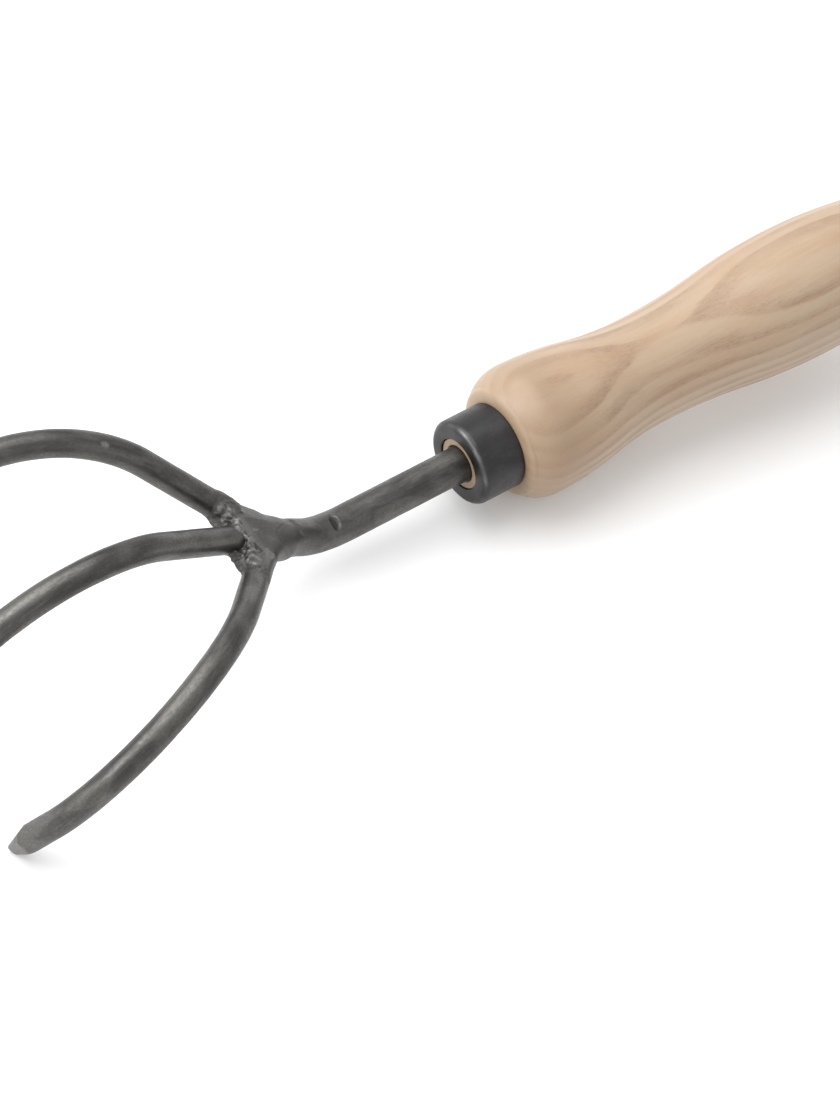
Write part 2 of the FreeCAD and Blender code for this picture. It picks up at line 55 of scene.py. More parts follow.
# The tool leans on its points and on the handle's front bulge. It hangs from a hole near the butt.
REST_PITCH = 5.78957
HANG_STATION, HANG_RADIUS, HANG_ROUND = 138.5, 3.25, 0.8

# Shank: a tapered tang behind, a bent neck in front with a punched dent on top of the bend.
SHANK_RADIUS, SHANK_LOSS = 4.75, 0.055
NECK_RUN, NECK_RADIUS, NECK_RISE, NECK_TAIL = 35.0, 24.0, 42.3, 15.2
TANG_LENGTH, TANG_TIP_RADIUS = 70.0, 3.0
DENT_STATION, DENT_ANGLE, DENT_DEPTH, DENT_LIP = 41.4, math.radians(-7), 0.6, 0.06
DENT_REACH_ALONG, DENT_REACH_ROUND = 1.5, 2.1

# Tines: a straight run, a hooked bend and a tail that ends in a four-sided ground point.
TINE_RADIUS, TINE_LOSS = 3.5, 0.05
FORK_SPREAD = 30.6
OUTER_RUN, OUTER_RADIUS, OUTER_TURN, OUTER_TAIL = 43.5, 38.6, 120.0, 9.5
CENTRE_RISE, CENTRE_LIFT, CENTRE_START = 37.5, 0.4, 9.0
CENTRE_RUN, CENTRE_RADIUS, CENTRE_TURN, CENTRE_TAIL = 38.5, 37.2, 115.5, 13.7
POINT_LENGTH, POINT_SHOULDER, POINT_END, POINT_ROUND = 10.0, 3.7, 1.25, 1.25
POINT_SIDES, POINT_BARE, POINT_EDGE = 11.0, 8.0, 5
NICK_STATION, NICK_ANGLE, NICK_SIZE, NICK_DEPTH = 56.7, math.radians(216), 0.8, 0.3
MITRE_LENGTH, HIDDEN_ROOT = 12.0, 8.0

# Joint: the flats ground on it, the metal that fills its corner, and the pit left beside the beads.
FLUSH = 0.05  # depth under a bar's surface at which a weld runs out, so that it fades into the bar
JOINT_TOP, JOINT_SLOPE = 4.15, 0.085
PATCH_TOP, PATCH_SLOPE, PATCH_ANGLE = 4.40, 0.03, -15
STEEPEST = 0.3  # least cosine, round a bar, at which a flat still cuts it
NECK_FLAT_LENGTH, ROOT_FLAT_LENGTH = 14, 20
NECK_TUCK, ROOT_TUCK = 0.7, 0.65  # how much thinner the bars are where the joint hides them
SEAM_FRONT, SEAM_ANGLE, SEAM_BOW, SEAM_DEPTH, SEAM_WIDTH = 4.2, 40, 0.00244, 0.09, 0.45
NECK_SWELLING = 0.95
HUB_FRONT, HUB_TOP, HUB_FLOOR = 17.6, 3.95, -3.0
HUB_MIDDLE, HUB_REACH = np.array([3.5, 0, 0]), 17.5
GUSSET, GUSSET_SIZE = np.array([3.0, 0, 0]), np.array([8.5, 6.6, 4.0])
BUILD_UP = ((5.0, -4.6, 0.4), (13.4, -9.4, 0.5), 3.35)
PIT, PIT_WIDTH, PIT_RADIUS = np.array([19.2, 2.8, 1.4]), 0.6, 2.1

# Crotch welds, 1 on the left and -1 on the right: a web, a bead of lumps on it, and a ridge of metal
# on the outer tine. A bead's line and a ridge are points, and a ridge and the build-up have a radius.
WEB_FLOOR, WEB_START, WEB_TOP = -3.2, 15.0, 1.2
WEB_SLOPE, WEB_FRONT = {1: 0.34, -1: 0.75}, {1: 20.4, -1: 18.2}
BEAD_LINE = {1: ((16.8, 2.6, 1.8), (17.0, 4.0, 1.3), (17.6, 5.6, 1.0), (19.4, 7.6, 1.3),
                 (21.2, 9.4, 1.7), (22.8, 11.2, 2.0)),
             -1: ((18.0, -8.2, 2.1), (17.0, -6.8, 1.5), (15.6, -4.9, 1.0), (16.4, -3.0, 1.6),
                  (17.5, -1.2, 2.0), (18.0, 0.2, 2.1))}
BEAD_SIZE, BEAD_SPACING = {1: (1.3, 1.9), -1: (1.0, 1.6)}, 1.5
RIDGE = {1: ((21.5, 12.6, 0.4), (24.0, 14.1, 0.2), 2.9),
         -1: ((16.5, -9.9, 0.8), (13.8, -8.3, 0.8), 2.8)}
HUB_BOX, HUB_STEP = ((-15, -15, -7), (22, 15, 6)), 0.22
WEB_BOX, WEB_STEP = {1: ((6, -2, -6), (30, 18, 6)), -1: ((6, -18, -6), (30, 2, 6))}, 0.2

# Ferrule: a drawn cap with a wide mouth.
FERRULE_RADIUS, FERRULE_LENGTH, FERRULE_WALL = 11.65, 12.7, 1.2
FERRULE_FRONT, FERRULE_MOUTH, FERRULE_ROUND = 1.7, 7.1, 1.8
MOUTH_ROUND, REAR_ROUND = 0.3, 0.35

# Handle: (distance behind the ferrule's mouth, radius) where its outline is level, and its ends.
SHOULDER_RADIUS, SHOULDER_EASE, SHOULDER_STEP = 13.2, 1.4, 0.05
CROWN, WAIST, BELLY = (22.0, 18.07), (59.5, 14.47), (112.0, 18.1)
TAIL_CURVE, HANDLE_END, BUTT_ROUND = 167.0, 152.69, 9.0
BORE_RADIUS, BORE_END, GLUE_START, SPIGOT_FRONT = 5.0, 74.0, 1.2, 0.5

# ---------------------------------------------------------------- looks

# Steels: three shades of the surface, its roughness, the depth of its marks in millimetres, how much
# its drawn lines show, and how many bright flecks it has.
BAR_STEEL = dict(dark=(0.062, 0.060, 0.057), pale=(0.136, 0.131, 0.123), bright=(0.19, 0.186, 0.18),
                 roughness=0.42, marks=0.035, drawn=0.35, flecks=0.12)
JOINT_STEEL = dict(dark=(0.070, 0.068, 0.066), pale=(0.092, 0.089, 0.086),
                   bright=(0.15, 0.147, 0.143), roughness=0.44, marks=0.03, drawn=0.2, flecks=0.12)
BEAD_STEEL = dict(dark=(0.07, 0.068, 0.066), pale=(0.125, 0.121, 0.115),
                  bright=(0.26, 0.255, 0.245), roughness=0.52, marks=0.16, drawn=0.0, flecks=0.5)
FERRULE_STEEL = dict(dark=(0.044, 0.042, 0.043), pale=(0.060, 0.058, 0.059),
                     bright=(0.10, 0.098, 0.098), roughness=0.39, marks=0.014, drawn=0.1, flecks=0.12)
# Bare ground steel; these colours also paint the highlights on weld beads and on the ferrule's front
# rim.
BARE_DARK, BARE_PALE = (0.17, 0.17, 0.17), (0.27, 0.265, 0.26)
# Painted shade for the inside of the punched dent on the neck.
HOLLOW_SHADE = (0.03, 0.029, 0.028)

# Ash: the growth rings are layers across this direction, in millimetres.
GRAIN_NORMAL = Vector((0.012, -0.03, 1.0)).normalized()
RING_SPACING, RING_START = 3.3, 2.5
PALE_WOOD, WARM_WOOD, LIGHT_WOOD = (0.40, 0.30, 0.207), (0.385, 0.255, 0.162), (0.45, 0.36, 0.26)
DARK_WOOD, PORE_WOOD = (0.235, 0.133, 0.078), (0.17, 0.093, 0.05)
# A darker tone for the nose, and painted shade for the spigot's front in the ferrule's mouth.
NOSE_WOOD, MOUTH_SHADE_WOOD = (0.27, 0.18, 0.112), (0.22, 0.15, 0.095)
RESIN_DARK, RESIN_PALE = (0.10, 0.045, 0.018), (0.30, 0.16, 0.07)

# Camera and lights, in metres, aimed at one point on the floor. A light's numbers are its azimuth,
# elevation, distance, size and watts.
AIM = Vector((0.009196, 0.013340, 0))
CAMERA_AZIMUTH, CAMERA_ELEVATION, CAMERA_ROLL = 117.745, 54.489, 31.518
CAMERA_DISTANCE, CAMERA_LENS, CAMERA_SENSOR = 1.064377, 135, 36
LIGHTS = {"key": (25, 52, 1.6, 2.0, 26), "front": (61, 22, 1.6, 1.0, 12)}
DAYLIGHT = 0.85
FLOOR_HALF, FLOOR_WHITE = 2.5, 0.94


# ---------------------------------------------------------------- frames

def turned(axis, degrees):
    return Matrix.Rotation(math.radians(degrees), 4, axis)


def rest_placement():
    """The hanging hole is on the handle's axis, so its mount places the whole tool."""
    hole = next(m for m in frame["record"]["mounts"] if m["name"] == "hang_hole")
    pitch = turned("Y", REST_PITCH)
    on_axis = pitch @ Vector((-HANG_STATION * MM, 0, 0))
    return Matrix.Translation(Vector(hole["pos_m"]) - on_axis) @ pitch


REST = rest_placement()


def fork_placement():
    """The corner of the fork: X along the neck, Z square to the plane of the outer tines."""
    rise = math.radians(NECK_RISE)
    x = NECK_RUN + NECK_RADIUS * math.sin(rise) + NECK_TAIL * math.cos(rise)
    z = NECK_RADIUS * (1 - math.cos(rise)) + NECK_TAIL * math.sin(rise)
    return Matrix.Translation((x, 0, z)) @ turned("Y", -NECK_RISE)


FORK = fork_placement()


# ---------------------------------------------------------------- meshes

def placed(points, placement):
    """Points of a placement's own frame, in the frame that the placement is in."""
    matrix = np.array(placement)
    return points @ matrix[:3, :3].T + matrix[:3, 3]


def smoothstep(low, high, x):
    t = np.clip((x - low) / (high - low), 0, 1)
    return t * t * (3 - 2 * t)


def soft_min(a, b, blend):
    """Smaller of two distances, rounded over where they are closer than blend."""
    mix = np.clip(0.5 + 0.5 * (b - a) / blend, 0, 1)
    return b + (a - b) * mix - blend * mix * (1 - mix)


def soft_max(a, b, blend):
    return -soft_min(-a, -b, blend)


def wander(points, size, seed):
    """Smooth noise between about -1 and 1 at each point, with lumps of about that size."""
    shift = Vector((seed * 17.3, seed * -9.1, seed * 5.7))
    return np.array([noise.noise(Vector(p) / size + shift) for p in points])


def lumps(points, size, seed):
    """Cheap smooth noise from a few waves in fixed directions."""
    dice = np.random.default_rng(seed)
    total = np.zeros(len(points))
    for _ in range(7):
        way = dice.normal(size=3)
        way *= 2 * math.pi / (size * dice.uniform(1.6, 3.2)) / np.linalg.norm(way)
        total += np.sin(points @ way + dice.uniform(0, 7))
    return total / 3.5


def new_piece(name, points, faces, layers, material, slot, *replaced):
    """A smooth-shaded mesh from points in the tool's frame, in millimetres."""
    mesh = bpy.data.meshes.new(name)
    mesh.from_pydata(placed(points * MM, REST).tolist(), [], faces)
    mesh.validate()
    for layer, values in layers.items():
        kind = "FLOAT" if np.ndim(values) == 1 else "FLOAT_VECTOR"
        key = "value" if kind == "FLOAT" else "vector"
        mesh.attributes.new(layer, kind, "POINT").data.foreach_set(key, np.ravel(values))
    mesh.shade_smooth()
    mesh.materials.append(material)
    piece = bpy.data.objects.new(name, mesh)
    bpy.context.scene.collection.objects.link(piece)
    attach(piece, "root")
    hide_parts(*replaced)
    return piece


def ring_faces(rings, segments, wrap=None):
    """Quads between rings of points. A closed skin wraps back to its first ring at that count."""
    faces = []
    for ring in range(rings - 1):
        base = ring * segments
        above = base + segments
        if above == wrap:
            above = 0
        for k in range(segments):
            after = (k + 1) % segments
            faces.append((base + k, base + after, above + after, above + k))
    return faces


def capped(rings):
    """Points and faces of a closed skin over the rings, with a point in the middle of each end."""
    count, segments, _ = rings.shape
    points = np.concatenate([rings.reshape(-1, 3), [rings[0].mean(0)], [rings[-1].mean(0)]])
    faces = ring_faces(count, segments)
    first, last = count * segments, count * segments + 1
    base = (count - 1) * segments
    for k in range(segments):
        after = (k + 1) % segments
        faces.append((first, after, k))
        faces.append((last, base + k, base + after))
    return points, faces


def trim(piece, corner, away):
    """Cuts off what lies on the away side of a plane through a corner, and closes the cut."""
    shape = bmesh.new()
    shape.from_mesh(piece.data)
    everything = shape.verts[:] + shape.edges[:] + shape.faces[:]
    cut = bmesh.ops.bisect_plane(shape, geom=everything, plane_co=REST @ (corner * MM),
                                 plane_no=REST.to_3x3() @ away, clear_outer=True)
    rim = [item for item in cut["geom_cut"] if isinstance(item, bmesh.types.BMEdge)]
    bmesh.ops.holes_fill(shape, edges=rim)
    shape.to_mesh(piece.data)
    shape.free()


def face_outward(piece):
    shape = bmesh.new()
    shape.from_mesh(piece.data)
    bmesh.ops.recalc_face_normals(shape, faces=shape.faces[:])
    shape.to_mesh(piece.data)
    shape.free()


def bake_modifiers(piece):
    """Replaces the mesh by what its modifiers make of it."""
    bpy.context.view_layer.update()
    seen = piece.evaluated_get(bpy.context.evaluated_depsgraph_get())
    mesh = bpy.data.meshes.new_from_object(seen)
    old = piece.data
    piece.modifiers.clear()
    piece.data = mesh
    bpy.data.meshes.remove(old)
    mesh.name = piece.name


def bent_line(placement, run, radius, turn, tail):
    """Centre line that runs along X and hooks to -Z: gives centre, inward and sideways at s."""
    turn = math.radians(turn)
    bend_end = run + radius * turn

    def at(s):
        angle = np.clip((s - run) / radius, 0, turn)
        beyond = np.maximum(s - bend_end, 0)
        x = np.minimum(s, run) + radius * np.sin(angle) + beyond * np.cos(angle)
        z = -radius * (1 - np.cos(angle)) - beyond * np.sin(angle)
        zero = np.zeros_like(s)
        centre = placed(np.stack([x, zero, z], -1), placement)
        turning = placement.to_3x3().to_4x4()
        inward = placed(np.stack([-np.sin(angle), zero, -np.cos(angle)], -1), turning)
        sideways = placed(np.stack([zero, zero + 1, zero], -1), turning)
        return centre, inward, sideways

    return at, bend_end + tail


def swept(line, along, radii):
    """Rings round a centre line: a row of distances along it and of radii for each ring."""
    centre, inward, sideways = line(along)
    across = (radii * np.cos(AROUND))[..., None]
    aside = (radii * np.sin(AROUND))[..., None]
    rings = centre + across * inward + aside * sideways
    return rings, np.concatenate([along[..., None], across, aside], -1)


def stations(*stretches):
    """Distances along a bar from (end of stretch, spacing) pairs, each once."""
    values = [stretches[0][0]]
    for end, spacing in stretches[1:]:
        count = max(1, round((end - values[-1]) / spacing))
        values += list(np.linspace(values[-1], end, count + 1)[1:])
    return np.array(values)


# ---------------------------------------------------------------- tines

def unevenness(points, amount, seed):
    """Small losses from a hot-worked bar's radii: long hollows and shorter dimples."""
    flat = points.reshape(-1, 3)
    swell = wander(flat, 11.0, seed) + 0.45 * wander(flat, 3.5, seed + 1)
    return amount * np.minimum(swell - 0.8, -0.1).reshape(points.shape[:2])


def point_radii(distance):
    """Radii of a four-sided ground point, by distance from its end."""
    inner = np.clip(distance, 0, POINT_ROUND)
    rounding = POINT_ROUND - np.sqrt(POINT_ROUND ** 2 - (POINT_ROUND - inner) ** 2)
    widening = (POINT_SHOULDER - POINT_END) * distance
    face = POINT_END + widening / POINT_LENGTH - rounding
    side = POINT_END + widening / POINT_SIDES - rounding
    across, aside = np.abs(np.cos(AROUND) / face), np.abs(np.sin(AROUND) / side)
    return (across ** POINT_EDGE + aside ** POINT_EDGE) ** (-1 / POINT_EDGE)


def point_bare(distance):
    """Where a point is ground to bare metal."""
    return 0.6 * smoothstep(-0.1, 0.15, POINT_BARE + 0.7 * np.sin(AROUND) ** 2 - distance)


def nick(along):
    """A knock in the right tine, on the outside of its bend."""
    across = TINE_RADIUS * (AROUND - NICK_ANGLE)
    return np.exp(-(np.hypot((along - NICK_STATION) / 1.3, across) / NICK_SIZE) ** 4)


def ground_top(x):
    """Height, in the fork's frame, of the flat ground on top of the joint, and its run-out."""
    return JOINT_TOP - JOINT_SLOPE * x + 1.3 * smoothstep(12, 19, x)


def tine_stations(length):
    """Places of a tine's rings, closer together at the nick and towards the point."""
    return stations((0, 0), (NICK_STATION - 4, 0.8), (NICK_STATION + 4, 0.25),
                    (length - POINT_LENGTH - 1, 0.8), (length - POINT_ROUND, 0.2),
                    (length - 0.02, 0.05))


def flattened_root(radii, bare, forward):
    """A tine's root, ground flat with the joint, and thinner where it is hidden in the joint."""
    flat = (ground_top(forward) - 0.04) / np.maximum(-np.cos(AROUND), STEEPEST)
    flat = np.where(forward < ROOT_FLAT_LENGTH, flat, FAR)
    bare = bare + 0.3 * smoothstep(0.02, 0.15, radii - flat)
    return soft_min(radii, flat, 0.1) - ROOT_TUCK * smoothstep(12.5, 9, forward), bare


def tine(placement, run, radius, turn, tail, seed, mitre=None, nicked=False):
    """Rings of one tine with its ground point, its straightened place, and where it is ground.

    A mitre shears the root so that the first ring lies in the fork's middle plane."""
    line, length = bent_line(placement, run, radius, turn, tail + POINT_LENGTH)
    along = np.repeat(tine_stations(length)[:, None], SEGMENTS, 1)
    if mitre:
        start = -TINE_RADIUS * np.sin(AROUND) / math.tan(math.radians(mitre))
        along = along + start * np.clip(1 - along / MITRE_LENGTH, 0, 1)
    full = np.full(along.shape, TINE_RADIUS)
    rings, _ = swept(line, along, full)
    bar = full + unevenness(rings, TINE_LOSS, seed) * smoothstep(6, 16, along)
    knock = nick(along) * nicked
    radii = soft_min(bar - NICK_DEPTH * knock, point_radii(length - along), 0.1)
    bare = point_bare(length - along) + 0.8 * knock
    if mitre:
        radii, bare = flattened_root(radii, bare, along * math.cos(math.radians(mitre)))
    rings, bar_place = swept(line, along, radii)
    return rings, bar_place, bare


def bar_layers(place, ground=None):
    """Per-point values for the steel: the place on the straightened bar, and where it is ground, with
    painted shade below 0.
    """
    place = place.reshape(-1, 3)
    ground = np.zeros(len(place)) if ground is None else ground.ravel()
    ends = [0, -1]
    return {"bar": np.concatenate([place, place[ends]]) * MM,
            "ground": np.concatenate([ground, ground[ends]])}


def fork_side(sign, seed):
    """An outer tine. The right one is made as the left one's mirror image, on the same points."""
    root = FORK @ turned("Z", FORK_SPREAD)
    rings, place, ground = tine(root, OUTER_RUN, OUTER_RADIUS, OUTER_TURN, OUTER_TAIL, seed,
                                mitre=FORK_SPREAD, nicked=sign < 0)
    return rings * np.array([1, sign, 1]), place, ground


def make_outer_tines(steel):
    """One bar bent to a V, from the right point over the fork's corner to the left point."""
    right, right_place, right_ground = fork_side(-1, 11)
    left, left_place, left_ground = fork_side(1, 23)
    right_place = right_place * np.array([-1, 1, 1])
    rings = np.concatenate([right[::-1], left[1:]])
    place = np.concatenate([right_place[::-1], left_place[1:]])
    ground = np.concatenate([right_ground[::-1], left_ground[1:]])
    points, faces = capped(rings)
    piece = new_piece("fork_outer_tines", points, faces, bar_layers(place, ground), steel,
                      "bar_steel", "outer_tines")
    trim(piece, FORK @ Vector((HIDDEN_ROOT, 0, 0)), FORK.to_3x3() @ Vector((-1, 0, 0)))


def make_centre_tine(steel):
    root = Matrix.Translation(Vector((0, 0, CENTRE_LIFT)) + FORK.translation)
    root = root @ turned("Y", -CENTRE_RISE) @ Matrix.Translation((CENTRE_START, 0, 0))
    rings, place, ground = tine(root, CENTRE_RUN, CENTRE_RADIUS, CENTRE_TURN, CENTRE_TAIL, 37)
    points, faces = capped(rings)
    new_piece("fork_centre_tine", points, faces, bar_layers(place, ground), steel, "bar_steel",
              "centre_tine")


# ---------------------------------------------------------------- shank

def dents(along, around):
    """Where the punched mark on top of the neck's bend is hollow, and where its lip is raised."""
    across = SHANK_RADIUS * np.sin(around - DENT_ANGLE)
    away = np.hypot((along - DENT_STATION) / DENT_REACH_ALONG, across / DENT_REACH_ROUND)
    away = np.where(np.cos(around - DENT_ANGLE) > 0, away, FAR)
    hollow = np.exp(-away ** 6)
    lip = np.exp(-((away - 1.3) / 0.22) ** 2)
    return hollow, lip


def flattened_neck(radii, full, behind):
    """The neck's end, ground flat with the joint, and thinner where it is hidden in the joint."""
    joint = (JOINT_TOP - 0.20 + JOINT_SLOPE * behind) / np.maximum(np.cos(AROUND), STEEPEST)
    tilted = np.cos(AROUND + math.radians(PATCH_ANGLE))
    patch = (PATCH_TOP - 0.02 + PATCH_SLOPE * behind) / np.maximum(tilted, STEEPEST)
    flat = soft_min(radii, np.minimum(joint, patch), 0.12)
    bare = 0.45 * smoothstep(0.02, 0.2, full - flat)
    bare = bare * smoothstep(NECK_FLAT_LENGTH, NECK_FLAT_LENGTH - 2, behind)
    radii = np.where(behind < NECK_FLAT_LENGTH, flat, radii)
    return radii - NECK_TUCK * smoothstep(9.0, 5.5, behind), bare


def make_shank(steel):
    line, length = bent_line(turned("X", 180), NECK_RUN, NECK_RADIUS, NECK_RISE, NECK_TAIL)
    s = stations((-TANG_LENGTH, 0), (-6, 3), (length - 40, 0.6), (length, 0.3))
    along = np.repeat(s[:, None], SEGMENTS, 1)
    taper = np.clip(-along / TANG_LENGTH, 0, 1)
    full = SHANK_RADIUS + (TANG_TIP_RADIUS - SHANK_RADIUS) * taper
    rings, _ = swept(line, along, full)
    radii = full + unevenness(rings, SHANK_LOSS, 51) * smoothstep(-4, 6, along)
    hollow, lip = dents(along, np.broadcast_to(AROUND, along.shape))
    radii = radii - DENT_DEPTH * hollow + DENT_LIP * lip
    radii, bare = flattened_neck(radii, full, length - along)
    rings, place = swept(line, along, radii)
    kept = s < length - 3
    points, faces = capped(rings[kept])
    # Below 0 the ground layer paints the dent's hollow dark: painted shade.
    layers = bar_layers(place[kept], (bare - hollow)[kept])
    new_piece("shank_bar", points, faces, layers, steel, "bar_steel", "shank")


# ---------------------------------------------------------------- skins of weld metal

def bar_distance(points, start, end, radius):
    """Distance from the surface of a straight round bar."""
    start, end = np.array(start, float), np.array(end, float)
    axis = end - start
    t = np.clip((points - start) @ axis / (axis @ axis), 0, 1)
    return np.linalg.norm(points - start - t[:, None] * axis, axis=1) - radius


def fork_bars():
    """Ends and radii, in the fork's frame, of the bars that meet there."""
    spread = math.radians(FORK_SPREAD)
    reach = 40
    tilt = turned("Y", NECK_RISE - CENTRE_RISE)
    lift = FORK.to_3x3().inverted() @ Vector((0, 0, CENTRE_LIFT))
    centre_start = lift + tilt @ Vector((CENTRE_START, 0, 0))
    centre_end = lift + tilt @ Vector((reach, 0, 0))
    left = (reach * math.cos(spread), reach * math.sin(spread), 0)
    right = (left[0], -left[1], 0)
    return {"neck": ((-NECK_TAIL, 0, 0), (-SHANK_RADIUS, 0, 0), SHANK_RADIUS),
            "left": ((0, 0, 0), left, TINE_RADIUS),
            "right": ((0, 0, 0), right, TINE_RADIUS),
            "centre": (tuple(centre_start), tuple(centre_end), TINE_RADIUS)}


BARS = fork_bars()


def net_points(values, inside):
    """For each grid cell that the surface crosses, its number (else -1) and a point on the surface."""
    cells = tuple(n - 1 for n in values.shape)
    total, count = np.zeros(cells + (3,)), np.zeros(cells)

    def part(array, corner):
        return array[tuple(slice(c, c + n) for c, n in zip(corner, cells))]

    for a in [(i, j, k) for i in (0, 1) for j in (0, 1) for k in (0, 1)]:
        for axis in range(3):
            if a[axis]:
                continue
            b = tuple(c + (axis == n) for n, c in enumerate(a))
            crossed = part(inside, a) != part(inside, b)
            va, vb = part(values, a), part(values, b)
            t = np.where(crossed, va / np.where(crossed, va - vb, 1), 0)
            place = np.stack([np.full(t.shape, float(c)) for c in a], -1)
            place[..., axis] += t
            total += place * crossed[..., None]
            count += crossed
    used = count > 0
    number = np.full(cells, -1)
    number[used] = np.arange(used.sum())
    return number, np.argwhere(used) + total[used] / count[used][:, None]


def net_faces(inside, number):
    """A quad across each grid edge that the surface crosses, between the four cells round it."""
    faces = []
    for axis in range(3):
        u, v = [n for n in range(3) if n != axis]
        near = [slice(1, -1)] * 3
        near[axis] = slice(0, -1)
        far = list(near)
        far[axis] = slice(1, None)
        here, there = inside[tuple(near)], inside[tuple(far)]
        offset = np.array([1, 1, 1])
        offset[axis] = 0
        for index in np.argwhere(here != there):
            quad = []
            for du, dv in ((0, 0), (1, 0), (1, 1), (0, 1)):
                c = index + offset
                c[u] -= du
                c[v] -= dv
                quad.append(int(number[tuple(c)]))
            flip = here[tuple(index)] == (axis == 1)
            faces.append(tuple(quad if flip else quad[::-1]))
    return faces


def netted(field, low, high, step):
    """Closed quad skin of the surface where field is zero, in a box, on a grid of that step."""
    axes = [np.arange(a, b + step, step) for a, b in zip(low, high)]
    grid = np.stack(np.meshgrid(*axes, indexing="ij"), -1)
    values = field(grid.reshape(-1, 3)).reshape(grid.shape[:3])
    values[[0, -1]] = values[:, [0, -1]] = step
    values[:, :, [0, -1]] = step
    inside = values < 0
    number, cells = net_points(values, inside)
    return np.array(low) + cells * step, net_faces(inside, number)


def settled(points, field, rounds=3):
    """Moves points along the field's slope on to its zero surface."""
    tiny = 0.01
    for _ in range(rounds):
        slope = np.stack([field(points + tiny * np.eye(3)[n]) - field(points - tiny * np.eye(3)[n])
                          for n in range(3)], -1) / (2 * tiny)
        length = np.maximum((slope ** 2).sum(1), 0.2)
        step = np.clip(field(points) / length, -0.15, 0.15)
        points = points - slope * step[:, None]
    return points


# ---------------------------------------------------------------- welds

def all_bars(points):
    return np.min([bar_distance(points, *bar) for bar in BARS.values()], axis=0)


def between_bars(points, side, front, top, floor):
    """Metal between the centre tine and the outer tine of one side, out to front and up to top."""
    x, y, z = points[:, 0], points[:, 1] * side, points[:, 2]
    spread = math.radians(FORK_SPREAD)
    past_outer = y * math.cos(spread) - x * math.sin(spread)
    fill = soft_max(-y - 0.5, past_outer, 0.5)
    fill = soft_max(fill, x - front, 1.5)
    fill = soft_max(fill, z - top, 1.2)
    return soft_max(fill, floor - z, 0.8)


def swelling(x, y, z):
    """Weld metal that thickens the neck's end, most of it on the left and underneath."""
    low_left = (0.9 * y - 0.43 * z) / np.maximum(np.hypot(y, z), 1)
    heap = NECK_SWELLING * np.exp(-((x + 3.5) / 5.5) ** 2) * smoothstep(-0.1, 0.8, low_left)
    return 0.35 * np.exp(-((x - 0.5) / 3.5) ** 2) + heap


def gap(points):
    """Unfilled pit along the centre tine, where the two welds run out; negative inside it."""
    return soft_max(bar_distance(points, *BARS["centre"]) - PIT_WIDTH,
                    np.linalg.norm(points - PIT, axis=1) - PIT_RADIUS, 0.3)


def above_ground(x, y, z):
    """Height over the flats ground on top of the joint and along the neck's far shoulder."""
    tilt = math.radians(PATCH_ANGLE)
    patch = y * math.sin(tilt) + z * math.cos(tilt) - PATCH_TOP + PATCH_SLOPE * x
    return np.maximum(z - ground_top(x), patch)


def seam(x, y, z):
    """Faint line where the neck's end was welded to the back of the bent bar."""
    around = np.degrees(np.arctan2(y, z))
    line = SEAM_FRONT - SEAM_BOW * (around - SEAM_ANGLE) ** 2
    shown = smoothstep(-45, -20, around) * smoothstep(110, 80, around)
    return SEAM_DEPTH * np.exp(-((x - line) / SEAM_WIDTH) ** 2) * shown


def hub_bars(points):
    """The neck and the outer tines run into each other, a little thicker where they meet."""
    x, y, z = points.T
    arms = soft_min(bar_distance(points, *BARS["left"]), bar_distance(points, *BARS["right"]), 2.5)
    arms = arms - 0.14 * np.exp(-((x - HIDDEN_ROOT) / 3) ** 2)
    neck = bar_distance(points, *BARS["neck"]) - swelling(x, y, z)
    return soft_min(arms, neck, 4.0) + FLUSH


def hub_fill(x, y, z):
    """Metal between the roots of the outer tines, behind the end of the centre tine."""
    spread = math.radians(FORK_SPREAD)
    wedge = np.abs(y) * math.cos(spread) - x * math.sin(spread)
    fill = soft_max(wedge, x - HUB_FRONT + 0.06 * y * y, 1.2)
    fill = soft_max(fill, z - HUB_TOP + 0.06 * x, 0.8)
    return soft_max(fill, HUB_FLOOR - z, 1.0)


def hub_field(points):
    """Metal of the fork's corner, ground flat on top and open at the pit."""
    x, y, z = points.T
    skin = soft_min(hub_bars(points), bar_distance(points, *BUILD_UP), 1.5)
    gusset = np.linalg.norm((points - GUSSET) / GUSSET_SIZE, axis=1) - 1
    skin = soft_min(skin, gusset * GUSSET_SIZE[2], 2.5)
    skin = soft_min(skin, hub_fill(x, y, z), 1.5)
    skin = soft_max(skin, above_ground(x, y, z), 1.6)
    skin = skin + 0.025 * lumps(points, 3.0, 5) + seam(x, y, z)
    skin = soft_max(skin, -gap(points), 0.8)
    return np.maximum(skin, np.linalg.norm(points - HUB_MIDDLE, axis=1) - HUB_REACH)


def bead_field(side):
    """Lumps of one weld's upper edge, laid along its line with an uneven hand."""
    dice = np.random.default_rng(7 + side)
    beads = []
    for start, end in zip(BEAD_LINE[side][:-1], BEAD_LINE[side][1:]):
        start, end = np.array(start), np.array(end)
        count = max(1, round(np.linalg.norm(end - start) / BEAD_SPACING))
        for t in np.arange(count) / count:
            shift = dice.normal(0, 0.3, 3)
            beads.append((start + (end - start) * t + shift, dice.uniform(*BEAD_SIZE[side])))

    def field(points):
        total = np.full(len(points), FAR)
        for centre, radius in beads:
            total = soft_min(total, np.linalg.norm(points - centre, axis=1) - radius, 0.9)
        return total

    return field


def weld_field(side):
    """One crotch weld: a web between the bars, with a lumpy bead across its upper edge."""
    bead = bead_field(side)

    def field(points):
        top = WEB_TOP - WEB_SLOPE[side] * np.maximum(points[:, 0] - WEB_START, 0)
        web = between_bars(points, side, WEB_FRONT[side], top, WEB_FLOOR)
        web = soft_min(web, bead(points), 0.8)
        web = soft_min(web, bar_distance(points, *RIDGE[side]), 1.2)
        web = web + (0.10 * lumps(points, 1.3, 3 + side) + 0.13 * lumps(points, 0.55, 9 + side))
        bars = all_bars(points) + FLUSH
        skin = np.maximum(soft_min(web, bars, 0.8), web - 0.9)
        return soft_max(skin, -gap(points), 0.8)

    return field


